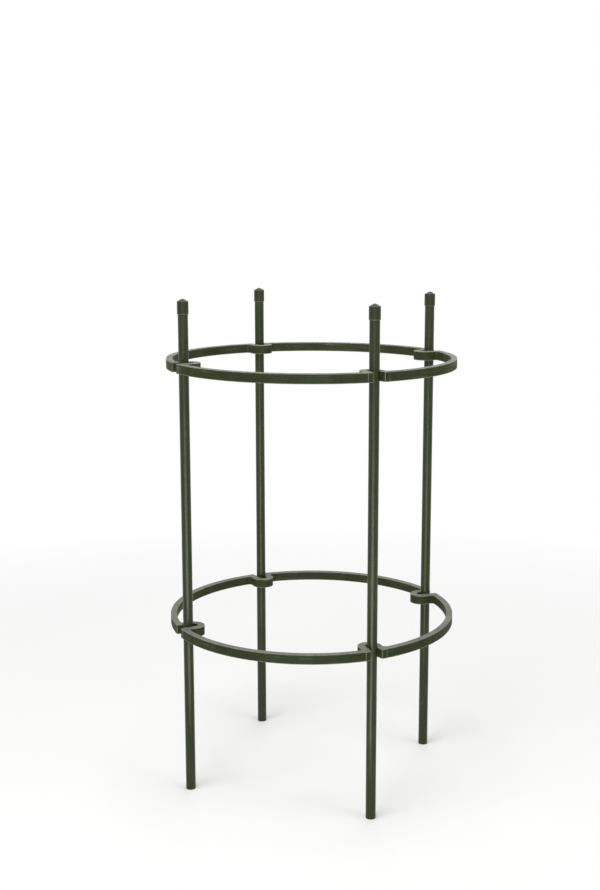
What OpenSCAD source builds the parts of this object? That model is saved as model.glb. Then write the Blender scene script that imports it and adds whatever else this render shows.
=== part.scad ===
// Plant support of two open rings, one above the other, that clip onto four upright coated stakes.
// The four stakes stand on the axes: right at +X, back at +Y, left at -X, front at -Y.
// The origin lies on the middle axis, level with the tips of the stakes, and +Z points up.

/* [Rings] */
// Outside diameter of a ring
ring_od = 356; // [320:1:400]
// Thickness of the ring's strip, measured along a radius
ring_thick = 7.5; // [4:0.5:9]
// Height of the ring's strip, which stands on edge
ring_height = 11.5; // [7:0.5:16]
// Height of the lower ring's top face above the tips
lower_ring_top = 365; // [150:1:480]
// Distance from the crowns of the caps down to the upper ring's top face
upper_ring_drop = 75; // [30:1:200]

/* [Pockets] */
// Distance from the ring's inner face in to the axis of a stake
stake_inset = 4.5; // [4:0.5:9]
// Radial clearance of a stake in its round seat
seat_clearance = 0.08; // [0.04:0.01:0.1]
// Wall of plastic round a pocket
pocket_wall = 7.9; // [6:0.1:10]
// Radius that blends a pocket's side into the ring's inner face
pocket_blend_r = 4; // [2:0.5:14]
// Width of the flared mouth at a pocket's flat outer face
mouth_w = 14.5; // [12:0.5:20]
// How much narrower the throat is than the stake that snaps through it
snap_grip = 1.4; // [0.8:0.1:2]
// Straight land of the throat, between the seat and the flared mouth
lip_land = 1; // [0.6:0.1:2]
// How much narrower the relief slot is than the stake
relief_step = 2; // [1:0.1:4]
// Distance from the axis of a stake in to the closed end of the relief slot
relief_reach = 12.5; // [11:0.5:18]

/* [Stakes] */
// Height of the support, from the tips to the crowns of the caps
overall_h = 762; // [620:1:920]
// Outside diameter of a coated stake
stake_od = 12; // [11:0.1:13]
// Thickness of the plastic coat on a stake
coat_thick = 0.7; // [0.5:0.1:1.2]
// Wall of the steel tube inside the coat
tube_wall = 0.6; // [0.4:0.1:1.2]
// Glue line between the steel tube and its coat
bond_gap = 0.02; // [0.01:0.01:0.05]

/* [Caps] */
// Wall of a cap's skirt
cap_wall = 0.7; // [0.6:0.1:1.5]
// Radial clearance of a cap on its stake
cap_clearance = 0.05; // [0.02:0.01:0.1]
// Length of the skirt that grips the stake
cap_grip = 13.2; // [8:0.1:18]
// Thickness of the roof that sits on the end of the stake
cap_roof = 2; // [1.2:0.1:4]
// Slope of the cap's crown, in degrees
crown_slope = 28; // [20:1:45]
// Radius at which the cone of the crown turns into its round top
crown_tip_r = 2.2; // [1:0.1:4]

/* [Points] */
// Length of the tapered point
point_taper = 26; // [18:0.5:36]
// Radius of the blunt end of the point
tip_r = 1.5; // [1:0.1:2.5]
// Length of the straight collar above the taper
collar_length = 14; // [8:0.5:18]
// Chamfer at the collar's upper edge, where it meets the coat
collar_chamfer = 0.8; // [0.7:0.1:1.5]
// Length of the spigot that plugs into the tube
spigot_length = 24; // [14:0.5:34]
// Radial clearance of the spigot in the tube
spigot_clearance = 0.05; // [0.02:0.01:0.1]

/* [Hidden] */
$fn = 96;
// Overrun of a cut past the face that it opens
overrun = 1;

// Names and angles of the four stakes
stake_names = ["right", "back", "left", "front"];
stake_turn = 360 / len(stake_names);
stake_pieces = ["tube", "coat", "cap", "point"];

// Radii of the ring, and where the stakes stand
ring_r = ring_od / 2;
ring_inner_r = ring_r - ring_thick;
ring_middle_r = ring_r - ring_thick / 2;
stake_circle_r = ring_inner_r - stake_inset;

// Radii of a stake's layers, from the outside in
stake_r = stake_od / 2;
tube_r = stake_r - coat_thick - bond_gap;
tube_bore_r = tube_r - tube_wall;
spigot_r = tube_bore_r - spigot_clearance;
cap_bore_r = stake_r + cap_clearance;
cap_r = cap_bore_r + cap_wall;

// Widths and places of a pocket, along a radius through the stake's axis
seat_r = stake_r + seat_clearance;
throat_half_w = (stake_od - snap_grip) / 2;
relief_r = (stake_od - relief_step) / 2;
relief_centre = stake_circle_r - relief_reach + relief_r;
pocket_half_w = seat_r + pocket_wall;
pocket_end = stake_circle_r - relief_reach - pocket_wall;
throat_end = stake_circle_r + sqrt(seat_r ^ 2 - throat_half_w ^ 2) + lip_land;
mouth_spread = (mouth_w / 2 - throat_half_w) / (ring_r - throat_end);

// Centre of the blend on a pocket's left side, tangent to the side and to the ring's inner face
blend_y = pocket_half_w + pocket_blend_r;
blend_x = sqrt((ring_inner_r - pocket_blend_r) ^ 2 - blend_y ^ 2);

// Heights of the upper ring and of a stake's pieces
upper_ring_top = overall_h - upper_ring_drop;
stake_bottom = point_taper + collar_length + collar_chamfer;
crown_cone_h = (cap_r - crown_tip_r) * tan(crown_slope);
crown_tip_h = crown_tip_r * tan(crown_slope / 2);
crown_base = overall_h - crown_tip_h - crown_cone_h;
stake_top = crown_base - cap_roof;

olive = "#3f452f";
steel = "#9a9d9f";

// Repeat what follows at one stake, with +X pointing outwards there
module at_stake(index) {
    rotate(index * stake_turn)
        translate([stake_circle_r, 0, 0])
            children();
}

// Straight pipe from one height to another
module pipe(outer_r, inner_r, bottom, top) {
    translate([0, 0, bottom])
        difference() {
            cylinder(r = outer_r, h = top - bottom);
            translate([0, 0, -overrun])
                cylinder(r = inner_r, h = top - bottom + 2 * overrun);
        }
}

// Steel tube that stiffens a stake
module stake_tube() {
    color(steel)
        pipe(tube_r, tube_bore_r, stake_bottom, stake_top);
}

// Plastic coat over the tube, which slides in the seats of the rings
module stake_coat() {
    color(olive)
        pipe(stake_r, tube_r + bond_gap, stake_bottom, stake_top);
}

// Cap pushed over the top of a stake, with a low cone for a crown and a round top on it
module stake_cap() {
    crown_sphere_r = crown_tip_r / sin(crown_slope);
    skirt_bottom = stake_top - cap_grip;
    color(olive)
        difference() {
            union() {
                translate([0, 0, skirt_bottom])
                    cylinder(r = cap_r, h = crown_base - skirt_bottom);
                translate([0, 0, crown_base])
                    cylinder(r1 = cap_r, r2 = crown_tip_r, h = crown_cone_h);
                intersection() {
                    translate([0, 0, overall_h - crown_sphere_r])
                        sphere(r = crown_sphere_r);
                    translate([0, 0, stake_top])
                        cylinder(r = crown_tip_r, h = overall_h - stake_top + overrun);
                }
            }
            translate([0, 0, skirt_bottom - overrun])
                cylinder(r = cap_bore_r, h = cap_grip + overrun);
        }
}

// Solid point under a stake, with a spigot that plugs into the tube
module stake_point() {
    collar_top = point_taper + collar_length;
    color(olive)
        union() {
            cylinder(r1 = tip_r, r2 = stake_r, h = point_taper);
            translate([0, 0, point_taper])
                cylinder(r = stake_r, h = collar_length);
            translate([0, 0, collar_top])
                cylinder(r1 = stake_r, r2 = stake_r - collar_chamfer, h = collar_chamfer);
            translate([0, 0, collar_top])
                cylinder(r = spigot_r, h = collar_chamfer + spigot_length);
        }
}

// Corner filled between one side of a pocket and the ring's inner face
module pocket_blend() {
    reach = ring_middle_r / (ring_inner_r - pocket_blend_r);
    difference() {
        polygon([
            [blend_x, pocket_half_w - ring_thick / 2],
            [ring_middle_r, pocket_half_w - ring_thick / 2],
            [blend_x * reach, blend_y * reach],
            [blend_x, blend_y]
        ]);
        translate([blend_x, blend_y])
            circle(r = pocket_blend_r);
    }
}

// Plan of the plastic round one pocket, flat where it meets the ring's outside
module pocket_body() {
    translate([pocket_end + pocket_half_w, 0])
        circle(r = pocket_half_w);
    translate([pocket_end + pocket_half_w, -pocket_half_w])
        square([ring_r - pocket_end - pocket_half_w, 2 * pocket_half_w]);
    pocket_blend();
    mirror([0, 1])
        pocket_blend();
}

// Plan of the space in one pocket: round seat, relief slot behind it, throat and flared mouth
module pocket_space() {
    translate([stake_circle_r, 0])
        circle(r = seat_r);
    translate([relief_centre, 0])
        circle(r = relief_r);
    translate([relief_centre, -relief_r])
        square([stake_circle_r - relief_centre, 2 * relief_r]);
    translate([stake_circle_r, -throat_half_w])
        square([throat_end - stake_circle_r, 2 * throat_half_w]);
    flare_end = ring_r + overrun;
    flare_half_w = throat_half_w + (flare_end - throat_end) * mouth_spread;
    polygon([
        [throat_end, -throat_half_w],
        [flare_end, -flare_half_w],
        [flare_end, flare_half_w],
        [throat_end, throat_half_w]
    ]);
}

// One-piece ring with a pocket for each stake
module ring(top) {
    color(olive)
        translate([0, 0, top - ring_height])
            linear_extrude(ring_height)
                difference() {
                    union() {
                        difference() {
                            circle(r = ring_r);
                            circle(r = ring_inner_r);
                        }
                        for (index = [0 : len(stake_names) - 1])
                            rotate(index * stake_turn)
                                pocket_body();
                    }
                    for (index = [0 : len(stake_names) - 1])
                        rotate(index * stake_turn)
                            pocket_space();
                }
}

module lower_ring() {
    ring(lower_ring_top);
}

module upper_ring() {
    ring(upper_ring_top);
}

for (index = [0 : len(stake_names) - 1]) {
    stake = str(stake_names[index], "_stake_");
    at_stake(index) stake_tube();
    at_stake(index) stake_coat();
    at_stake(index) stake_cap();
    at_stake(index) stake_point();
}
lower_ring();
upper_ring();
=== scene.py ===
"""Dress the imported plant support: two pocketed rings on four coated stakes, in soft studio light."""

import logging
import math
from collections.abc import Mapping
from dataclasses import dataclass
from enum import Enum
from typing import NamedTuple

import bmesh
import bpy
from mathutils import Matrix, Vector
from mathutils.geometry import delaunay_2d_cdt


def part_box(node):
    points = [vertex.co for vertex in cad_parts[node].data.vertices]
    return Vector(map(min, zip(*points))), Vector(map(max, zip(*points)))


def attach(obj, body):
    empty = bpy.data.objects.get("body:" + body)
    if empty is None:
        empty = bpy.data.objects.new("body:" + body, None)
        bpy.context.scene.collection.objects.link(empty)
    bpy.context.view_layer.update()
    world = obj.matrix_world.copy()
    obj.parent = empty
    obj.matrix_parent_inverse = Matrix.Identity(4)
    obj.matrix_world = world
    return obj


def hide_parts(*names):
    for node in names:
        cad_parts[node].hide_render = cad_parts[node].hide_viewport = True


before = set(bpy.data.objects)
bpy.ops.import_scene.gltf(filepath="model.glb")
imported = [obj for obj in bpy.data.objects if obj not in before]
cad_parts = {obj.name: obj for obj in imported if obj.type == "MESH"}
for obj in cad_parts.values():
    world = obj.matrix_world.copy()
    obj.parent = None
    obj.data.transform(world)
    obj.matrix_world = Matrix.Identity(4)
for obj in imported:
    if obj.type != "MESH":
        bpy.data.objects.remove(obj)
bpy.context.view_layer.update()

Colour = tuple[float, float, float, float]
Socket = bpy.types.NodeSocket

MM = 0.001
CUBIC_CM = 1e-6
TAU = 2 * math.pi
WHITE: Colour = (1.0, 1.0, 1.0, 1.0)

# Points of a piece that lie nearer than this are welded
WELD = 0.001 * MM

# Attribute that says how much a point is rubbed; its pale colour also paints a highlight line along the edge
WEAR_AND_HIGHLIGHT = "wear"

# Attribute from which Blender's weighted normals take the strength of a face
FACE_STRENGTH = "__mod_weightednormals_faceweight"

# Curve of screen colours: a straight toe, then a power
SCREEN_LEVELS = 255
TOE_END = 0.04045
TOE_SLOPE = 12.92
CURVE_SHIFT = 0.055
CURVE_POWER = 2.4

# Sockets of a colour mix, by number because hidden sockets share their names
MIX_SHARE, MIX_FIRST, MIX_SECOND = 0, 6, 7
MIX_RESULT = 2

# Filling of a flat face: triangles inside its rim only, and how near two points count as one
INSIDE_RIM = 1
SAME_SPOT = 0.0001 * MM

log = logging.getLogger("plant_support")


class Side(Enum):
    """The four stakes, by the side of the support that they stand on."""

    RIGHT = "right_stake"
    BACK = "back_stake"
    LEFT = "left_stake"
    FRONT = "front_stake"


class Level(Enum):
    """The two rings, by their height on the stakes."""

    LOWER = "lower_ring"
    UPPER = "upper_ring"


class Slot(Enum):
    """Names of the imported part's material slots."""

    RING = "ring_plastic"
    COAT = "stake_coat"
    MOULDED = "moulded_plastic"


class Strength(Enum):
    """How strongly a face sets the shading at its corners, in Blender's own steps."""

    ROUNDED = 0
    FLAT = 16384


def linear(level: int) -> float:
    """Straighten one channel of a screen colour.

    Args:
        level: The channel's level, 0 to 255.

    Returns:
        The channel's linear value, 0 to 1.
    """
    part = level / SCREEN_LEVELS
    if part <= TOE_END:
        return part / TOE_SLOPE
    return ((part + CURVE_SHIFT) / (1 + CURVE_SHIFT)) ** CURVE_POWER


def from_screen(red: int, green: int, blue: int) -> Colour:
    """Turn a screen colour into the linear, opaque colour that a shader takes."""
    return (linear(red), linear(green), linear(blue), 1.0)


def put(name: str, data: bpy.types.ID) -> bpy.types.Object:
    """Put a new object in the scene.

    Args:
        name: Name of the object.
        data: Its mesh, lamp or camera.

    Returns:
        The object, at the origin.
    """
    made = bpy.data.objects.new(name, data)
    bpy.context.scene.collection.objects.link(made)
    return made


# Outlines


class PathPoint(NamedTuple):
    """A point of an outline, with how much the edge there is rubbed and painted with a pale highlight."""

    x: float
    y: float
    wear: float = 0.0


class Corner(NamedTuple):
    """A corner that an outline passes, to be rounded when its radius isn't zero."""

    place: Vector
    radius: float
    wear: float


class Outline:
    """An open path of straight runs and arcs, with rounded corners that are rubbed and painted with pale
    highlight lines.
    """

    # Longest step along an arc, and least number of steps
    chord = 1.5 * MM
    fewest_steps = 3
    # Steps round a corner, and share of its wear and painted highlight where they start and end
    corner_steps = 4
    corner_wear_and_highlight = 0.35
    # How far past a corner its rubbed and highlit edge ends, and how near two corners count as one
    wear_reach = 0.6 * MM
    same_place = 0.0005 * MM

    def __init__(self) -> None:
        """Start an empty path."""
        self.corners: list[Corner] = []

    def corner(self, x: float, y: float, radius: float = 0.0, wear: float = 0.0) -> "Outline":
        """Run straight to a corner with a radius, or none, that is rubbed and painted pale as a highlight by
        0 to 1.
        """
        self.corners.append(Corner(Vector((x, y)), radius, wear))
        return self

    def arc(self, centre: tuple[float, float], radius: float, start: float, end: float,
            chord: float | None = None) -> "Outline":
        """Follow an arc, from its first point to its last.

        Args:
            centre: Centre of the arc.
            radius: Radius of the arc.
            start: Angle of the first point, in radians.
            end: Angle of the last point, in radians.
            chord: Longest straight step along the arc.

        Returns:
            The outline itself.
        """
        steps = max(self.fewest_steps, math.ceil(abs(end - start) * radius / (chord or self.chord)))
        for step in range(steps + 1):
            angle = start + (end - start) * step / steps
            self.corner(centre[0] + radius * math.cos(angle), centre[1] + radius * math.sin(angle))
        return self

    def points(self) -> list[PathPoint]:
        """Lay out the whole path.

        Returns:
            The path's points, with corners rounded and rubbed, highlit edges kept narrow.
        """
        corners = [self.corners[0]]
        for corner in self.corners[1:]:
            if (corner.place - corners[-1].place).length > self.same_place:
                corners.append(corner)
        laid: list[PathPoint] = []
        for index, corner in enumerate(corners):
            if 0 < index < len(corners) - 1 and (corner.radius or corner.wear):
                laid += self._rounded(corners[index - 1].place, corner, corners[index + 1].place)
            else:
                laid.append(PathPoint(*corner.place, corner.wear))
        return laid

    def _rounded(self, before: Vector, corner: Corner, after: Vector) -> list[PathPoint]:
        """Round one corner, with a plain point on each side that ends its rubbed and highlit edge.

        Args:
            before: The corner before it.
            corner: The corner to round.
            after: The corner after it.

        Returns:
            The points that take the corner's place.
        """
        inward = (corner.place - before).normalized()
        onward = (after - corner.place).normalized()
        turn = math.atan2(inward.cross(onward), inward.dot(onward))
        setback = corner.radius * math.tan(abs(turn) / 2)
        first = corner.place - inward * setback
        last = corner.place + onward * setback
        rounded: list[PathPoint] = []
        if (first - before).length > 2 * self.wear_reach:
            rounded.append(PathPoint(*(first - inward * self.wear_reach)))
        if corner.radius:
            normal = Vector((-inward.y, inward.x)) * math.copysign(corner.radius, turn)
            centre = first + normal
            spoke = first - centre
            for step in range(self.corner_steps + 1):
                angle = turn * step / self.corner_steps
                arm = Vector((spoke.x * math.cos(angle) - spoke.y * math.sin(angle),
                              spoke.x * math.sin(angle) + spoke.y * math.cos(angle)))
                middle = math.sin(math.pi * step / self.corner_steps)
                edge = self.corner_wear_and_highlight + (1 - self.corner_wear_and_highlight) * middle
                rounded.append(PathPoint(*(centre + arm), corner.wear * edge))
        else:
            rounded.append(PathPoint(*corner.place, corner.wear))
        if (after - last).length > 2 * self.wear_reach:
            rounded.append(PathPoint(*(last + onward * self.wear_reach)))
        return rounded


# Node trees


class Nodes:
    """Grows a node tree, node by node."""

    def __init__(self, tree: bpy.types.NodeTree) -> None:
        """Keep the tree that grows."""
        self.tree = tree

    def node(self, kind: str, inputs: Mapping[str | int, object] | None = None,
             **settings: object) -> bpy.types.Node:
        """Add a node, set it up and wire it.

        Args:
            kind: Blender's name of the node's type.
            inputs: For each input, a socket to wire it to or a plain value.
            settings: Properties of the node.

        Returns:
            The new node.
        """
        made = self.tree.nodes.new(kind)
        for name, value in settings.items():
            setattr(made, name, value)
        for key, value in (inputs or {}).items():
            if isinstance(value, Socket):
                self.tree.links.new(value, made.inputs[key])
            else:
                made.inputs[key].default_value = value
        return made

    def math(self, operation: str, first: object, second: object = 0.0) -> Socket:
        """Add a sum and return its result."""
        return self.node("ShaderNodeMath", {0: first, 1: second}, operation=operation).outputs[0]


class ShapeTree(Nodes):
    """A geometry node tree with named inputs, which makes one kind of piece."""

    def __init__(self, name: str, inputs: Mapping[str, str]) -> None:
        """Start a tree.

        Args:
            name: Name of the tree.
            inputs: Name and socket type of each input, the geometry first.
        """
        super().__init__(bpy.data.node_groups.new(name, "GeometryNodeTree"))
        face = self.tree.interface
        self.identifiers = {
            label: face.new_socket(label, in_out="INPUT", socket_type=kind).identifier
            for label, kind in inputs.items()
        }
        face.new_socket("Piece", in_out="OUTPUT", socket_type="NodeSocketGeometry")
        self.given = self.tree.nodes.new("NodeGroupInput").outputs
        self.result = self.tree.nodes.new("NodeGroupOutput").inputs

    def change(self, kind: str, shape: Socket, **inputs: object) -> Socket:
        """Pass a shape through a node and return the changed shape."""
        return self.node(kind, {"Geometry": shape, **inputs}).outputs[0]

    def close(self, shape: Socket) -> None:
        """Weld, smooth, realize and dress the shape, and hand it out.

        Args:
            shape: Socket that carries the shape.
        """
        welded = self.change("GeometryNodeMergeByDistance", shape, Distance=WELD)
        smooth = self.change("GeometryNodeSetShadeSmooth", welded)
        real = self.change("GeometryNodeRealizeInstances", smooth)
        dressed = self.change("GeometryNodeSetMaterial", real, Material=self.given["Finish"])
        self.tree.links.new(dressed, self.result["Piece"])

    def make(self, name: str, start: bpy.types.Mesh, values: Mapping[str, object]) -> bpy.types.Object:
        """Run the tree once and keep its result as a plain mesh.

        Args:
            name: Name of the finished piece.
            start: Mesh that the tree starts from.
            values: Value of each named input.

        Returns:
            The finished object, at the origin, with no modifier left.
        """
        piece = put(name, start)
        shaping = piece.modifiers.new("shape", "NODES")
        shaping.node_group = self.tree
        for label, value in values.items():
            shaping[self.identifiers[label]] = value
        shading = piece.modifiers.new("flat faces", "WEIGHTED_NORMAL")
        shading.mode = "FACE_AREA"
        shading.use_face_influence = True
        graph = bpy.context.evaluated_depsgraph_get()
        finished = bpy.data.meshes.new_from_object(piece.evaluated_get(graph))
        piece.modifiers.clear()
        piece.data = finished
        finished.name = name
        bpy.data.meshes.remove(start)
        return piece


class RepeatTree(ShapeTree):
    """Repeats one sector of a ring round the upright axis."""

    def __init__(self) -> None:
        """Build the tree."""
        super().__init__("sectors_of_a_ring", {
            "Sector": "NodeSocketGeometry",
            "Sectors": "NodeSocketInt",
            "Finish": "NodeSocketMaterial",
        })
        spots = self.node("GeometryNodePoints", {"Count": self.given["Sectors"]})
        index = self.node("GeometryNodeInputIndex").outputs[0]
        step = self.math("DIVIDE", TAU, self.given["Sectors"])
        turn = self.node("ShaderNodeCombineXYZ", {"Z": self.math("MULTIPLY", index, step)})
        rotation = self.node("FunctionNodeEulerToRotation", {"Euler": turn.outputs[0]})
        sectors = self.node("GeometryNodeInstanceOnPoints", {
            "Points": spots.outputs[0],
            "Instance": self.given["Sector"],
            "Rotation": rotation.outputs[0],
        })
        self.close(self.change("GeometryNodeRealizeInstances", sectors.outputs[0]))


class TurnTree(ShapeTree):
    """Turns a profile round an upright axis, as on a lathe."""

    def __init__(self) -> None:
        """Build the tree."""
        super().__init__("turned_piece", {
            "Profile": "NodeSocketGeometry",
            "Segments": "NodeSocketInt",
            "Axis": "NodeSocketVector",
            "Finish": "NodeSocketMaterial",
        })
        profile = self.node("GeometryNodeAttributeDomainSize", {"Geometry": self.given["Profile"]},
                            component="MESH")
        columns = self._whole("ADD", self.given["Segments"], 1)
        grid = self.node("GeometryNodeMeshGrid", {
            "Vertices X": profile.outputs["Point Count"], "Vertices Y": columns,
        })
        index = self.node("GeometryNodeInputIndex").outputs[0]
        row = self._whole("DIVIDE_FLOOR", index, columns)
        column = self._whole("MODULO", index, columns)
        place = self._sample("FLOAT_VECTOR", self.node("GeometryNodeInputPosition").outputs[0], row)
        rubbed_and_highlit = self.node("GeometryNodeInputNamedAttribute", {"Name": WEAR_AND_HIGHLIGHT}, data_type="FLOAT")
        wear = self._sample("FLOAT", rubbed_and_highlit.outputs["Attribute"], row)
        angle = self.math("MULTIPLY", column, self.math("DIVIDE", TAU, self.given["Segments"]))
        turned = self.node("ShaderNodeVectorRotate", {"Vector": place, "Angle": angle},
                           rotation_type="Z_AXIS")
        moved = self.node("ShaderNodeVectorMath", {0: turned.outputs[0], 1: self.given["Axis"]},
                          operation="ADD")
        shaped = self.change("GeometryNodeSetPosition", grid.outputs["Mesh"], Position=moved.outputs[0])
        marked = self.node("GeometryNodeStoreNamedAttribute",
                           {"Geometry": shaped, "Name": WEAR_AND_HIGHLIGHT, "Value": wear},
                           data_type="FLOAT", domain="POINT")
        self.close(marked.outputs[0])

    def _whole(self, operation: str, first: object, second: object) -> Socket:
        """Add a sum of whole numbers and return its result."""
        return self.node("FunctionNodeIntegerMath", {0: first, 1: second}, operation=operation).outputs[0]

    def _sample(self, kind: str, value: Socket, row: Socket) -> Socket:
        """Read a value of the profile, of the type given, at the profile's point with the row's number."""
        inputs = {"Geometry": self.given["Profile"], "Value": value, "Index": row}
        return self.node("GeometryNodeSampleIndex", inputs, data_type=kind, domain="POINT").outputs["Value"]


# Finishes


class Span(NamedTuple):
    """The two ends of a range."""

    low: float
    high: float


WHOLE = Span(0.0, 1.0)

# Range that most of a noise pattern lies in
NOISE_SPAN = Span(0.3, 0.7)


@dataclass(frozen=True)
class Pattern:
    """A noise pattern: repeats per metre, layers of finer noise, and scale along each axis before it."""

    scale: float
    detail: float = 2.0
    stretch: tuple[float, float, float] | None = None


@dataclass(frozen=True)
class Relief:
    """How a pattern raises a surface: its depth in metres, and the strength of its effect."""

    depth: float
    strength: float


class SurfaceTree(Nodes):
    """A material whose nodes read the piece's own coordinates."""

    def __init__(self, name: str) -> None:
        """Start a material with only its output.

        Args:
            name: Name of the material.
        """
        self.material = bpy.data.materials.new(name)
        self.material.use_nodes = True
        super().__init__(self.material.node_tree)
        self.tree.nodes.clear()
        self.output = self.node("ShaderNodeOutputMaterial")
        self.place = self.node("ShaderNodeTexCoord").outputs["Object"]

    def wear(self) -> Socket:
        """Read how much the surface is rubbed, which also marks where a pale highlight line is painted along
        an edge.
        """
        return self.node("ShaderNodeAttribute", attribute_name=WEAR_AND_HIGHLIGHT).outputs["Fac"]

    def upward(self) -> Socket:
        """Read how far the surface looks up, from one on a level face to zero on an upright one."""
        normal = self.node("ShaderNodeNewGeometry").outputs["Normal"]
        return self.node("ShaderNodeSeparateXYZ", {0: normal}).outputs["Z"]

    def reach(self) -> Socket:
        """Measure the distance from the upright axis."""
        flat = self.node("ShaderNodeVectorMath", {0: self.place, 1: (1.0, 1.0, 0.0)}, operation="MULTIPLY")
        return self.node("ShaderNodeVectorMath", {0: flat.outputs[0]}, operation="LENGTH").outputs["Value"]

    def noise(self, pattern: Pattern, place: Socket | None = None) -> Socket:
        """Add a noise pattern.

        Args:
            pattern: The pattern's scale, detail and stretch.
            place: Socket with other coordinates than the piece's own.

        Returns:
            The socket with the noise.
        """
        place = place or self.place
        if pattern.stretch:
            place = self.node("ShaderNodeMapping", {"Vector": place, "Scale": pattern.stretch}).outputs[0]
        return self.node("ShaderNodeTexNoise", {
            "Vector": place, "Scale": pattern.scale, "Detail": pattern.detail,
        }).outputs["Fac"]

    def spread(self, value: Socket, result: Span = WHOLE, span: Span = NOISE_SPAN) -> Socket:
        """Spread a span of values over a range of results, and clamp what lies outside."""
        ends = {"From Min": span.low, "From Max": span.high, "To Min": result.low, "To Max": result.high}
        return self.node("ShaderNodeMapRange", {"Value": value, **ends}).outputs[0]

    def weigh(self, first: Socket, second: Socket, share: float) -> Socket:
        """Add up two patterns, the first by its share and the second by the rest."""
        rest = self.math("MULTIPLY", second, 1 - share)
        return self.math("ADD", self.math("MULTIPLY", first, share), rest)

    def blend(self, share: Socket, first: object, second: object) -> Socket:
        """Blend two colours by a share and return the result."""
        inputs = {MIX_SHARE: share, MIX_FIRST: first, MIX_SECOND: second}
        return self.node("ShaderNodeMix", inputs, data_type="RGBA").outputs[MIX_RESULT]

    def bump(self, height: Socket, relief: Relief, under: Socket | None = None) -> Socket:
        """Raise the surface by a pattern, over the normal of a coarser pattern under it if there is one."""
        inputs = {"Height": height, "Distance": relief.depth, "Strength": relief.strength}
        return self.node("ShaderNodeBump", inputs | ({"Normal": under} if under else {})).outputs[0]

    def close(self, colour: Socket, roughness: Socket, normal: Socket, specular: float,
              metallic: float = 0.0) -> bpy.types.Material:
        """Add the surface shader and finish the material.

        Args:
            colour: Socket with the base colour.
            roughness: Socket with the roughness.
            normal: Socket with the normal.
            specular: Strength of the surface's gloss.
            metallic: One for bare metal.

        Returns:
            The finished material.
        """
        surface = self.node("ShaderNodeBsdfPrincipled", {
            "Base Color": colour, "Roughness": roughness, "Normal": normal,
            "Specular IOR Level": specular, "Metallic": metallic,
        })
        self.tree.links.new(surface.outputs[0], self.output.inputs["Surface"])
        return self.material


@dataclass(frozen=True)
class MouldedPlastic:
    """Olive moulded plastic: grain, streaks, edges rubbed and painted with highlights, tops paler by sun
    bleaching and by painted light from above.
    """

    name: str
    dark: Colour = from_screen(44, 51, 27)
    light: Colour = from_screen(62, 69, 44)
    # Pale colour of rubbed edges, which also paints a highlight line along them
    rubbed_and_highlit: Colour = from_screen(150, 152, 139)
    # Pale grey of up-facing faces: partly sun bleaching, partly painted light from above
    bleach_and_top_light: Colour = from_screen(130, 129, 121)
    roughness: Span = Span(0.54, 0.7)
    specular: float = 0.08
    mottle: Pattern = Pattern(45.0, detail=4.0)
    mottle_share: float = 0.5
    mottle_relief: Relief = Relief(0.1 * MM, 0.1)
    grain: Pattern = Pattern(2600.0)
    grain_relief: Relief = Relief(0.12 * MM, 0.55)
    scuff: Pattern = Pattern(225.0, detail=5.0)
    edge_wear_and_highlight: Span = Span(0.55, 1.0)
    edge_patches: Span = Span(0.35, 0.6)
    # Share, slope and patches of the pale grey on up-facing faces: sun bleaching and painted light from above
    bleach_and_top_light_share: float = 0.7
    bleach_and_top_light_slope: Span = Span(0.55, 0.98)
    bleach_and_top_light_patches: Span = Span(0.75, 1.0)
    streak: float = 0.0
    streak_lines: Pattern = Pattern(800.0, detail=3.0, stretch=(0.004, 1.0, 1.0))
    streak_span: Span = Span(0.56, 0.72)
    streak_patches: Span = Span(0.45, 0.6)

    def material(self) -> bpy.types.Material:
        """Build the finish.

        Returns:
            The material.
        """
        surface = SurfaceTree(self.name)
        mottle = surface.noise(self.mottle)
        grain = surface.noise(self.grain)
        scuff = surface.noise(self.scuff)
        shade = surface.weigh(mottle, grain, self.mottle_share)
        body = surface.blend(surface.spread(shade), self.dark, self.light)
        # Up-facing faces turn pale grey: partly sun bleaching, partly painted light falling from above
        level = surface.spread(surface.upward(), Span(0.0, self.bleach_and_top_light_share), self.bleach_and_top_light_slope)
        bleach_and_top_light_mask = surface.math("MULTIPLY", level, surface.spread(mottle, self.bleach_and_top_light_patches))
        bleached_and_top_lit = surface.blend(bleach_and_top_light_mask, body, self.bleach_and_top_light)
        # Edges turn pale: partly rubbed plastic, partly a painted highlight line along each edge
        patches = surface.spread(scuff, self.edge_wear_and_highlight, self.edge_patches)
        wear_and_highlight = surface.math("MULTIPLY", surface.wear(), patches)
        if self.streak:
            wear_and_highlight = surface.math("MAXIMUM", wear_and_highlight, self._streaks(surface, mottle))
        colour = surface.blend(wear_and_highlight, bleached_and_top_lit, self.rubbed_and_highlit)
        roughness = surface.spread(scuff, self.roughness)
        normal = surface.bump(grain, self.grain_relief, surface.bump(mottle, self.mottle_relief))
        return surface.close(colour, roughness, normal, self.specular)

    def _streaks(self, surface: SurfaceTree, patch: Socket) -> Socket:
        """Rub faint pale streaks along a ring's strip, in patches.

        Args:
            surface: Material to add them to.
            patch: Socket with the pattern of the patches.

        Returns:
            The socket with the share of rubbed colour.
        """
        split = surface.node("ShaderNodeSeparateXYZ", {0: surface.place}).outputs
        turn = surface.math("ARCTAN2", split["Y"], split["X"])
        along = surface.node("ShaderNodeCombineXYZ", {"X": turn, "Y": surface.reach(), "Z": split["Z"]})
        lines = surface.noise(self.streak_lines, along.outputs[0])
        faint = surface.spread(lines, Span(0.0, self.streak), self.streak_span)
        return surface.math("MULTIPLY", faint, surface.spread(patch, span=self.streak_patches))


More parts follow.
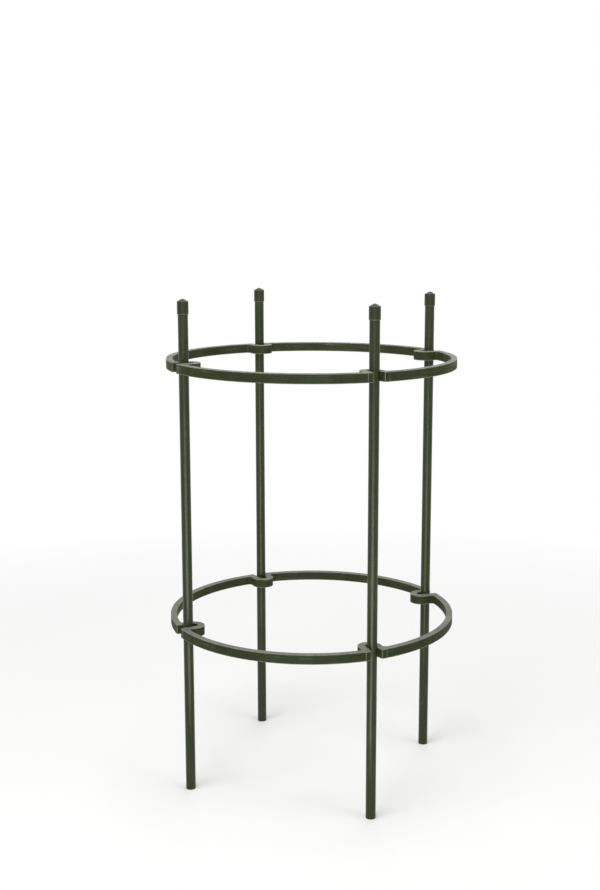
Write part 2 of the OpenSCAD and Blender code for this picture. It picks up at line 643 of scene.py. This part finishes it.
@dataclass(frozen=True)
class ExtrudedCoat:
    """Olive plastic drawn over a tube, with fine lines along its length and faint scuffs."""

    name: str
    dark: Colour = from_screen(43, 51, 23)
    light: Colour = from_screen(61, 68, 40)
    # Pale colour of scratches and of rubbed ends, where it also paints a highlight line along the edge
    rubbed_and_highlit: Colour = from_screen(118, 124, 106)
    roughness: Span = Span(0.24, 0.34)
    specular: float = 0.2
    patch: Pattern = Pattern(26.0, detail=4.0)
    line: Pattern = Pattern(900.0, stretch=(1.0, 1.0, 0.012))
    line_share: float = 0.6
    line_relief: Relief = Relief(0.06 * MM, 0.4)
    speck: Pattern = Pattern(1800.0, detail=1.0)
    speck_relief: Relief = Relief(0.03 * MM, 0.3)
    scratch: Pattern = Pattern(2700.0, detail=3.0, stretch=(1.0, 1.0, 0.012))
    scratch_wear: Span = Span(0.0, 0.5)
    scratch_span: Span = Span(0.6, 0.74)
    scratch_patches: Span = Span(0.45, 0.65)
    edge_wear_and_highlight: Span = Span(0.4, 0.9)

    def material(self) -> bpy.types.Material:
        """Build the finish.

        Returns:
            The material.
        """
        surface = SurfaceTree(self.name)
        patch = surface.noise(self.patch)
        lines = surface.noise(self.line)
        drawn = surface.weigh(lines, patch, self.line_share)
        body = surface.blend(surface.spread(drawn), self.dark, self.light)
        scratch = surface.spread(surface.noise(self.scratch), self.scratch_wear, self.scratch_span)
        scored = surface.math("MULTIPLY", scratch, surface.spread(patch, span=self.scratch_patches))
        # Ends turn pale: rubbed, and painted with a highlight line along the edge
        edge = surface.math("MULTIPLY", surface.wear(), surface.spread(patch, self.edge_wear_and_highlight))
        colour = surface.blend(surface.math("MAXIMUM", scored, edge), body, self.rubbed_and_highlit)
        roughness = surface.spread(drawn, self.roughness)
        under = surface.bump(lines, self.line_relief)
        normal = surface.bump(surface.noise(self.speck), self.speck_relief, under)
        return surface.close(colour, roughness, normal, self.specular)


@dataclass(frozen=True)
class DrawnSteel:
    """Bare drawn steel, with fine lines along its length."""

    name: str
    dark: Colour = from_screen(138, 141, 143)
    light: Colour = from_screen(172, 175, 176)
    roughness: Span = Span(0.25, 0.42)
    specular: float = 0.5
    metallic: float = 1.0
    patch: Pattern = Pattern(40.0, detail=4.0)
    line: Pattern = Pattern(1400.0, stretch=(1.0, 1.0, 0.01))
    line_relief: Relief = Relief(0.03 * MM, 0.2)

    def material(self) -> bpy.types.Material:
        """Build the finish.

        Returns:
            The material.
        """
        surface = SurfaceTree(self.name)
        lines = surface.noise(self.line)
        colour = surface.blend(surface.spread(surface.noise(self.patch)), self.dark, self.light)
        roughness = surface.spread(lines, self.roughness)
        normal = surface.bump(lines, self.line_relief)
        return surface.close(colour, roughness, normal, self.specular, self.metallic)


# Rings


class RimPoint(NamedTuple):
    """A step of the ring's upright section: how far in from the wall, how high, how rubbed and highlit."""

    inset: float
    height: float
    wear: float


@dataclass
class SupportRing:
    """A one-piece ring: a strip on edge, with a pocket for each stake."""

    level: Level
    finish: bpy.types.Material
    pockets: int = 4
    radius: float = 178 * MM
    strip: float = 7.5 * MM
    stake_inset: float = 4.5 * MM
    stake_radius: float = 6 * MM
    seat_clearance: float = 0.08 * MM
    pocket_wall: float = 7.9 * MM
    blend_radius: float = 4 * MM
    mouth: float = 14.5 * MM
    snap_grip: float = 1.4 * MM
    lip_land: float = 1 * MM
    relief_step: float = 2 * MM
    relief_reach: float = 12.5 * MM
    # Rounding and wear of each edge; the wear also paints a pale highlight line along the edge
    lip_round: float = 0.6 * MM
    lip_wear_and_highlight: float = 1.0
    flat_round: float = 0.52 * MM
    flat_wear_and_highlight: float = 1.0
    throat_wear_and_highlight: float = 0.6
    edge_radius: float = 0.45 * MM
    edge_wear_and_highlight: float = 0.9
    fine_chord: float = 0.5 * MM

    def __post_init__(self) -> None:
        """Work out what follows from the sizes."""
        low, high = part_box(self.level.value)
        self.bottom = low.z
        self.height = high.z - low.z
        self.inner_radius = self.radius - self.strip
        self.stake_circle = self.inner_radius - self.stake_inset
        self.seat = self.stake_radius + self.seat_clearance
        self.half_pocket = self.seat + self.pocket_wall
        self.half_sector = math.pi / self.pockets

    def build(self, tree: RepeatTree) -> bpy.types.Object:
        """Build, dress and place the ring.

        Args:
            tree: Tree that repeats a sector round the ring.

        Returns:
            The finished piece.
        """
        piece = tree.make(f"{self.level.value}_moulding", self._sector(), {
            "Sectors": self.pockets,
            "Finish": self.finish,
        })
        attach(piece, self.level.value)
        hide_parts(self.level.value)
        return piece

    def _outer_half(self) -> Outline:
        """Draw the outside of half a sector, from the ring's outer face in to the pocket's closed end.

        Returns:
            The outline, on the positive side of the pocket's axis.
        """
        throat = self.stake_radius - self.snap_grip / 2
        relief = self.stake_radius - self.relief_step / 2
        throat_angle = math.asin(throat / self.seat)
        relief_angle = math.pi - math.asin(relief / self.seat)
        throat_end = self.stake_circle + self.seat * math.cos(throat_angle) + self.lip_land
        relief_centre = self.stake_circle - self.relief_reach + relief
        path = Outline()
        path.arc((0, 0), self.radius, self.half_sector, math.asin(self.half_pocket / self.radius))
        path.corner(self.radius, self.half_pocket, self.flat_round, self.flat_wear_and_highlight)
        path.corner(self.radius, self.mouth / 2, self.lip_round, self.lip_wear_and_highlight)
        path.corner(throat_end, throat, wear=self.throat_wear_and_highlight)
        path.arc((self.stake_circle, 0), self.seat, throat_angle, relief_angle, self.fine_chord)
        path.arc((relief_centre, 0), relief, math.pi / 2, math.pi, self.fine_chord)
        return path

    def _inner_half(self) -> Outline:
        """Draw the inside of half a sector, from the pocket's rounded back out to the ring's inner face.

        Returns:
            The outline, on the positive side of the pocket's axis.
        """
        back = self.stake_circle - self.relief_reach - self.pocket_wall + self.half_pocket
        blend_y = self.half_pocket + self.blend_radius
        blend_x = math.sqrt((self.inner_radius - self.blend_radius) ** 2 - blend_y ** 2)
        blend_end = math.atan2(blend_y, blend_x)
        path = Outline()
        path.arc((back, 0), self.half_pocket, math.pi, math.pi / 2)
        path.arc((blend_x, blend_y), self.blend_radius, -math.pi / 2, blend_end, self.fine_chord)
        path.arc((0, 0), self.inner_radius, blend_end, self.half_sector)
        return path

    def _section(self) -> list[RimPoint]:
        """Draw the upright section of the strip's wall, with a rounded rim at each end, rubbed and painted
        with a pale highlight line.

        Returns:
            The steps of the section, from the bottom up.
        """
        rim: list[RimPoint] = []
        steps = Outline.corner_steps
        for step in range(steps + 1):
            angle = math.pi / 2 * step / steps
            inset = self.edge_radius * (1 - math.sin(angle))
            height = self.edge_radius * (1 - math.cos(angle))
            wear = math.sin(math.pi * step / steps) if step < steps else self.edge_wear_and_highlight
            rim.append(RimPoint(inset, height, wear))
        rim.append(RimPoint(0.0, self.edge_radius + Outline.wear_reach, 0.0))
        upper = [RimPoint(point.inset, self.height - point.height, point.wear) for point in reversed(rim)]
        return rim + upper

    def _sector(self) -> bpy.types.Mesh:
        """Build one sector of the ring, open at both ends, with its pocket along +X.

        Returns:
            The sector's mesh.
        """
        outer = self._outer_half().points()
        inner = self._inner_half().points()
        sector = bmesh.new()
        sector.verts.layers.float.new(WEAR_AND_HIGHLIGHT)
        sector.faces.layers.int.new(FACE_STRENGTH)
        outside = self._wall(sector, outer + self._mirrored(outer[:-1]))
        inside = self._wall(sector, self._mirrored(inner[1:]) + inner)
        self._fill(sector, outside[0] + inside[0], under=True)
        self._fill(sector, outside[-1] + inside[-1], under=False)
        mesh = bpy.data.meshes.new("ring_sector")
        sector.to_mesh(mesh)
        sector.free()
        return mesh

    @staticmethod
    def _mirrored(half: list[PathPoint]) -> list[PathPoint]:
        """Mirror half an outline in the pocket's axis, and run it the other way."""
        return [PathPoint(point.x, -point.y, point.wear) for point in reversed(half)]

    def _wall(self, sector: bmesh.types.BMesh, path: list[PathPoint]) -> list[list[bmesh.types.BMVert]]:
        """Raise a wall of the strip along a path.

        Args:
            sector: Mesh of the sector.
            path: Points of the wall, with the plastic on the right of the path.

        Returns:
            The wall's points, row by row from the bottom up.
        """
        rubbed_and_highlit = sector.verts.layers.float[WEAR_AND_HIGHLIGHT]
        strength = sector.faces.layers.int[FACE_STRENGTH]
        section = self._section()
        mitres = self._mitres(path)
        rows: list[list[bmesh.types.BMVert]] = []
        for step in section:
            row = []
            for point, mitre in zip(path, mitres):
                spot = Vector((point.x, point.y)) + mitre * step.inset
                vert = sector.verts.new((spot.x, spot.y, self.bottom + step.height))
                vert[rubbed_and_highlit] = max(step.wear, point.wear if step.inset < self.edge_radius / 2 else 0.0)
                row.append(vert)
            rows.append(row)
        for step, (low, high) in enumerate(zip(rows, rows[1:])):
            upright = section[step].inset == section[step + 1].inset
            for index in range(len(path) - 1):
                face = sector.faces.new((low[index], high[index], high[index + 1], low[index + 1]))
                face[strength] = (Strength.FLAT if upright else Strength.ROUNDED).value
        return rows

    @staticmethod
    def _fill(sector: bmesh.types.BMesh, rim: list[bmesh.types.BMVert], under: bool) -> None:
        """Close a flat face of the sector with even triangles.

        Args:
            sector: Mesh of the sector.
            rim: Points round the face, clockwise as seen from above.
            under: Whether the face looks down.
        """
        strength = sector.faces.layers.int[FACE_STRENGTH]
        around = list(reversed(rim))
        flat = [vert.co.to_2d() for vert in around]
        whole = [list(range(len(flat)))]
        _, _, faces, sources, *_ = delaunay_2d_cdt(flat, [], whole, INSIDE_RIM, SAME_SPOT)
        for face in faces:
            corners = [around[sources[index][0]] for index in face]
            level = sector.faces.new(reversed(corners) if under else corners)
            level[strength] = Strength.FLAT.value

    @staticmethod
    def _mitres(path: list[PathPoint]) -> list[Vector]:
        """Find the way into the plastic at each point, long enough to keep offset walls parallel.

        Args:
            path: Points of a wall, with the plastic on the right of the path.

        Returns:
            A mitre for each point, along a radius of the ring at the two ends.
        """
        spots = [Vector((point.x, point.y)) for point in path]
        sides = []
        for start, end in zip(spots, spots[1:]):
            run = (end - start).normalized()
            sides.append(Vector((run.y, -run.x)))
        inner = [(before + after) / (1 + before.dot(after)) for before, after in zip(sides, sides[1:])]
        ends = [spots[end].normalized() * math.copysign(1.0, sides[end].dot(spots[end])) for end in (0, -1)]
        return [ends[0], *inner, ends[1]]


# Stakes


@dataclass
class TurnedPiece:
    """A round piece of a stake, turned from a profile."""

    side: Side
    part: str
    slot: Slot
    finish: bpy.types.Material
    segments: int = 72

    def __post_init__(self) -> None:
        """Take the piece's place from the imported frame."""
        self.node = f"{self.side.value}_{self.part}"
        self.low, self.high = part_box(self.node)
        self.axis = ((self.low.x + self.high.x) / 2, (self.low.y + self.high.y) / 2, 0.0)

    def profile(self) -> Outline:
        """Draw the profile, from the top down on the outside."""
        raise NotImplementedError

    def build(self, tree: TurnTree) -> bpy.types.Object:
        """Build, dress and place the piece.

        Args:
            tree: Tree that turns a profile.

        Returns:
            The finished piece.
        """
        strand = bmesh.new()
        rubbed_and_highlit = strand.verts.layers.float.new(WEAR_AND_HIGHLIGHT)
        verts = []
        for point in self.profile().points():
            vert = strand.verts.new((point.x, 0.0, point.y))
            vert[rubbed_and_highlit] = point.wear
            verts.append(vert)
        for first, second in zip(verts, verts[1:]):
            strand.edges.new((first, second))
        mesh = bpy.data.meshes.new("profile")
        strand.to_mesh(mesh)
        strand.free()
        piece = tree.make(f"{self.node}_turned", mesh, {
            "Segments": self.segments,
            "Axis": self.axis,
            "Finish": self.finish,
        })
        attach(piece, self.side.value)
        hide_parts(self.node)
        return piece


@dataclass
class StakeCap(TurnedPiece):
    """The cap over a stake's top end, with a low cone for a crown."""

    radius: float = 6.75 * MM
    bore: float = 6.05 * MM
    grip: float = 13.2 * MM
    crown_slope: float = math.radians(28)
    crown_tip: float = 2.2 * MM
    crown_chord: float = 0.25 * MM
    # Rounding and wear of each edge; the wear also paints a pale highlight line along the edge
    shoulder_round: float = 0.7 * MM
    shoulder_wear_and_highlight: float = 0.2
    lip_round: float = 0.45 * MM
    lip_wear_and_highlight: float = 1.0
    bore_round: float = 0.225 * MM
    bore_wear_and_highlight: float = 0.5

    def profile(self) -> Outline:
        """Draw the cap's profile.

        Returns:
            The profile, from the crown down the outside and up the bore.
        """
        ball = self.crown_tip / math.sin(self.crown_slope)
        shoulder = (self.high.z - ball * (1 - math.cos(self.crown_slope))
                    - (self.radius - self.crown_tip) * math.tan(self.crown_slope))
        roof = self.low.z + self.grip
        crown_end = math.pi / 2 - self.crown_slope
        path = Outline()
        path.arc((0, self.high.z - ball), ball, math.pi / 2, crown_end, self.crown_chord)
        path.corner(self.radius, shoulder, self.shoulder_round, self.shoulder_wear_and_highlight)
        path.corner(self.radius, self.low.z, self.lip_round, self.lip_wear_and_highlight)
        path.corner(self.bore, self.low.z, self.bore_round, self.bore_wear_and_highlight)
        path.corner(self.bore, roof)
        return path.corner(0, roof)


@dataclass
class StakeCoat(TurnedPiece):
    """The plastic coat of a stake, a long sleeve over the steel tube."""

    radius: float = 6 * MM
    bore: float = 5.3 * MM
    # Rounding and wear of each end; the wear also paints a pale highlight line along the edge
    end_round: float = 0.2 * MM
    end_wear_and_highlight: float = 0.8

    def profile(self) -> Outline:
        """Draw the coat's profile.

        Returns:
            The profile, down the outside, up the bore and closed at the top.
        """
        top, bottom = self.high.z, self.low.z
        middle = (self.radius + self.bore) / 2
        path = Outline().corner(middle, top)
        path.corner(self.radius, top, self.end_round, self.end_wear_and_highlight)
        path.corner(self.radius, bottom, self.end_round, self.end_wear_and_highlight)
        path.corner(self.bore, bottom)
        path.corner(self.bore, top)
        return path.corner(middle, top)


@dataclass
class StakePoint(TurnedPiece):
    """The point in a stake's lower end: spigot, collar and blunt taper."""

    radius: float = 6 * MM
    spigot: float = 4.63 * MM
    # Rounding and wear of each corner; the wear also paints a pale highlight line along the edge
    spigot_round: float = 0.4 * MM
    spigot_wear_and_highlight: float = 0.4
    chamfer: float = 0.8 * MM
    collar: float = 14 * MM
    collar_round: float = 0.2 * MM
    collar_wear_and_highlight: float = 0.6
    taper: float = 26 * MM
    taper_round: float = 6.5 * MM
    taper_wear_and_highlight: float = 0.3
    tip: float = 1.5 * MM
    tip_round: float = 0.75 * MM
    tip_wear_and_highlight: float = 1.0

    def profile(self) -> Outline:
        """Draw the point's profile.

        Returns:
            The profile, from the spigot's end down to the tip.
        """
        taper_top = self.low.z + self.taper
        collar_top = taper_top + self.collar
        path = Outline().corner(0, self.high.z)
        path.corner(self.spigot, self.high.z, self.spigot_round, self.spigot_wear_and_highlight)
        path.corner(self.spigot, collar_top + self.chamfer)
        path.corner(self.radius - self.chamfer, collar_top + self.chamfer)
        path.corner(self.radius, collar_top, self.collar_round, self.collar_wear_and_highlight)
        path.corner(self.radius, taper_top, self.taper_round, self.taper_wear_and_highlight)
        path.corner(self.tip, self.low.z, self.tip_round, self.tip_wear_and_highlight)
        return path.corner(0, self.low.z)


@dataclass
class Stake:
    """One stake: cap, coat and point in plastic round a steel tube."""

    side: Side
    coat: bpy.types.Material
    moulded: bpy.types.Material
    steel: bpy.types.Material

    def build(self, tree: TurnTree) -> list[bpy.types.Object]:
        """Build and dress the stake.

        Args:
            tree: Tree that turns a profile.

        Returns:
            The stake's finished pieces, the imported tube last.
        """
        return [
            StakeCap(self.side, "cap", Slot.MOULDED, self.moulded).build(tree),
            StakeCoat(self.side, "coat", Slot.COAT, self.coat).build(tree),
            StakePoint(self.side, "point", Slot.MOULDED, self.moulded).build(tree),
            self._dress_tube(),
        ]

    def _dress_tube(self) -> bpy.types.Object:
        """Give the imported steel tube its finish.

        Returns:
            The tube.
        """
        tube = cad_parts[f"{self.side.value}_tube"]
        tube.data.materials.clear()
        tube.data.materials.append(self.steel)
        return tube


# Studio


@dataclass(frozen=True)
class Lamp:
    """A soft square lamp, placed round the support by angles from the camera."""

    name: str
    azimuth: float
    elevation: float
    distance: float
    size: float
    watts: float


@dataclass(frozen=True)
class Card:
    """A lamp that lies on the floor in front of the support and shows only as gloss."""

    name: str
    near: float
    far: float
    width: float
    watts: float


@dataclass
class Studio:
    """Pale floor, soft lamps, white surroundings and the camera."""

    azimuth: float = -24.95
    camera_reach: float = 1593.5 * MM
    camera_height: float = 861.7 * MM
    camera_pitch: float = 10.16
    focal_pixels: float = 1301.3
    centre_pixel: float = 311.6
    image_width: int = 600
    image_height: int = 890
    sensor: float = 36.0
    floor_height: float = 154 * MM
    floor_half: float = 12.0
    floor_colour: Colour = from_screen(240, 240, 239)
    floor_fade: Span = Span(0.5, 1.3)
    ambient: float = 0.3
    aim_height: float = 0.42
    lamps: tuple[Lamp, ...] = (
        Lamp("key", azimuth=-42, elevation=56, distance=2.4, size=1.5, watts=26),
        Lamp("fill", azimuth=62, elevation=30, distance=2.5, size=1.4, watts=11),
        Lamp("top", azimuth=10, elevation=84, distance=2.0, size=1.6, watts=24),
        Lamp("rear", azimuth=172, elevation=30, distance=2.5, size=1.6, watts=12),
    )
    card_azimuth: float = -5.0
    card_lift: float = 5 * MM
    cards: tuple[Card, ...] = (
        Card("near_card", near=0.32, far=0.8, width=0.26, watts=2.6),
        Card("far_card", near=0.8, far=2.4, width=0.9, watts=38),
    )

    def build(self) -> None:
        """Set up the floor, the light, the surroundings and the camera."""
        self._floor()
        self._world()
        for lamp in self.lamps:
            self._lamp(lamp)
        for card in self.cards:
            self._card(card)
        self._camera()

    def _way(self, azimuth: float, elevation: float = 0.0) -> Vector:
        """Find the way from the support to a place round it, by angles from the camera."""
        turn, rise = math.radians(self.azimuth + azimuth), math.radians(elevation)
        return Vector((math.sin(turn) * math.cos(rise), -math.cos(turn) * math.cos(rise), math.sin(rise)))

    def _seen(self, nodes: Nodes) -> Socket:
        """Tell the rays that should see a white background from those that carry light.

        Args:
            nodes: Tree to add the test to.

        Returns:
            The socket that is one for camera, glossy and transmission rays.
        """
        ray = nodes.node("ShaderNodeLightPath").outputs
        glossy = nodes.math("MAXIMUM", ray["Is Glossy Ray"], ray["Is Transmission Ray"])
        return nodes.math("MAXIMUM", ray["Is Camera Ray"], glossy)

    def _floor(self) -> None:
        """Lay the pale floor at the height the stakes are pushed in to, white far from the support."""
        sheet = bmesh.new()
        bmesh.ops.create_grid(sheet, x_segments=1, y_segments=1, size=self.floor_half)
        bmesh.ops.translate(sheet, verts=sheet.verts, vec=(0, 0, self.floor_height))
        mesh = bpy.data.meshes.new("floor")
        sheet.to_mesh(mesh)
        sheet.free()
        floor = put("floor", mesh)
        surface = SurfaceTree("pale_floor")
        far = surface.spread(surface.reach(), span=self.floor_fade)
        matt = surface.node("ShaderNodeBsdfDiffuse", {"Color": self.floor_colour})
        white = surface.node("ShaderNodeEmission", {"Color": WHITE, "Strength": 1.0})
        mixed = surface.node("ShaderNodeMixShader", {
            0: surface.math("MULTIPLY", far, self._seen(surface)), 1: matt.outputs[0], 2: white.outputs[0],
        })
        surface.tree.links.new(mixed.outputs[0], surface.output.inputs["Surface"])
        mesh.materials.append(surface.material)

    def _world(self) -> None:
        """Surround the scene with white, which lights it only gently."""
        world = bpy.data.worlds.new("white_surroundings")
        world.use_nodes = True
        bpy.context.scene.world = world
        nodes = Nodes(world.node_tree)
        nodes.tree.nodes.clear()
        gentle = nodes.node("ShaderNodeBackground", {"Color": WHITE, "Strength": self.ambient})
        white = nodes.node("ShaderNodeBackground", {"Color": WHITE, "Strength": 1.0})
        mixed = nodes.node("ShaderNodeMixShader", {
            0: self._seen(nodes), 1: gentle.outputs[0], 2: white.outputs[0],
        })
        output = nodes.node("ShaderNodeOutputWorld")
        nodes.tree.links.new(mixed.outputs[0], output.inputs["Surface"])

    def _area(self, name: str, width: float, length: float, watts: float) -> bpy.types.Object:
        """Make a soft rectangular lamp that the camera doesn't see.

        Args:
            name: Name of the lamp.
            width: Width of its face.
            length: Length of its face.
            watts: Its power.

        Returns:
            The lamp's object.
        """
        light = bpy.data.lights.new(name, "AREA")
        light.shape = "RECTANGLE"
        light.size, light.size_y = width, length
        light.energy = watts
        lamp = put(name, light)
        lamp.visible_camera = False
        return lamp

    def _lamp(self, lamp: Lamp) -> None:
        """Hang a soft lamp and point it at the support.

        Args:
            lamp: The lamp's place, size and power.
        """
        made = self._area(lamp.name, lamp.size, lamp.size, lamp.watts)
        way = self._way(lamp.azimuth, lamp.elevation)
        made.location = Vector((0.0, 0.0, self.aim_height)) + way * lamp.distance
        made.rotation_euler = (-way).to_track_quat("-Z", "Y").to_euler()

    def _card(self, card: Card) -> None:
        """Lay a lamp on the floor in front, which gives the round stakes their soft upright highlight.

        Args:
            card: The lamp's place, size and power.
        """
        made = self._area(card.name, card.width, card.far - card.near, card.watts)
        made.visible_diffuse = False
        way = self._way(self.card_azimuth) * (card.near + card.far) / 2
        made.location = Vector((way.x, way.y, self.floor_height + self.card_lift))
        made.rotation_euler = (math.pi, 0.0, math.radians(self.azimuth + self.card_azimuth))

    def _camera(self) -> None:
        """Set up the camera as the photograph was taken."""
        camera = bpy.data.cameras.new("photo_view")
        camera.sensor_width = self.sensor
        camera.lens = self.focal_pixels * self.sensor / self.image_height
        camera.shift_x = (self.image_width / 2 - self.centre_pixel) / self.image_height
        eye = put("photo_view", camera)
        way = self._way(0.0) * self.camera_reach
        eye.location = Vector((way.x, way.y, self.camera_height))
        eye.rotation_euler = (math.radians(90 - self.camera_pitch), 0.0, math.radians(self.azimuth))
        bpy.context.scene.camera = eye
        bpy.context.scene.view_settings.view_transform = "Standard"


def report(piece: bpy.types.Object) -> None:
    """Log a piece's faces, volume and open edges.

    Args:
        piece: A finished piece, or an imported tube, whose faces aren't joined.
    """
    check = bmesh.new()
    check.from_mesh(piece.data)
    volume = check.calc_volume(signed=True) / CUBIC_CM
    open_edges = sum(not edge.is_manifold for edge in check.edges)
    log.info("%s: %d faces, volume %.2f cm3, open edges %d", piece.name, len(check.faces), volume, open_edges)
    check.free()


def main() -> None:
    """Build and dress the rings and the stakes, set up the studio, and report each piece."""
    logging.basicConfig(level=logging.INFO, format="%(message)s")
    ring_plastic = MouldedPlastic("ring_plastic", streak=0.3).material()
    moulded_plastic = MouldedPlastic(
        "moulded_plastic", dark=from_screen(44, 51, 25), light=from_screen(59, 66, 38),
        roughness=Span(0.32, 0.42), specular=0.17, bleach_and_top_light_share=0.08,
    ).material()
    stake_coat = ExtrudedCoat("stake_coat").material()
    drawn_steel = DrawnSteel("drawn_steel").material()
    repeat, turn = RepeatTree(), TurnTree()
    pieces = [SupportRing(level, ring_plastic).build(repeat) for level in Level]
    for side in Side:
        pieces += Stake(side, stake_coat, moulded_plastic, drawn_steel).build(turn)
    Studio().build()
    for piece in pieces:
        report(piece)


if __name__ == "__main__":
    main()
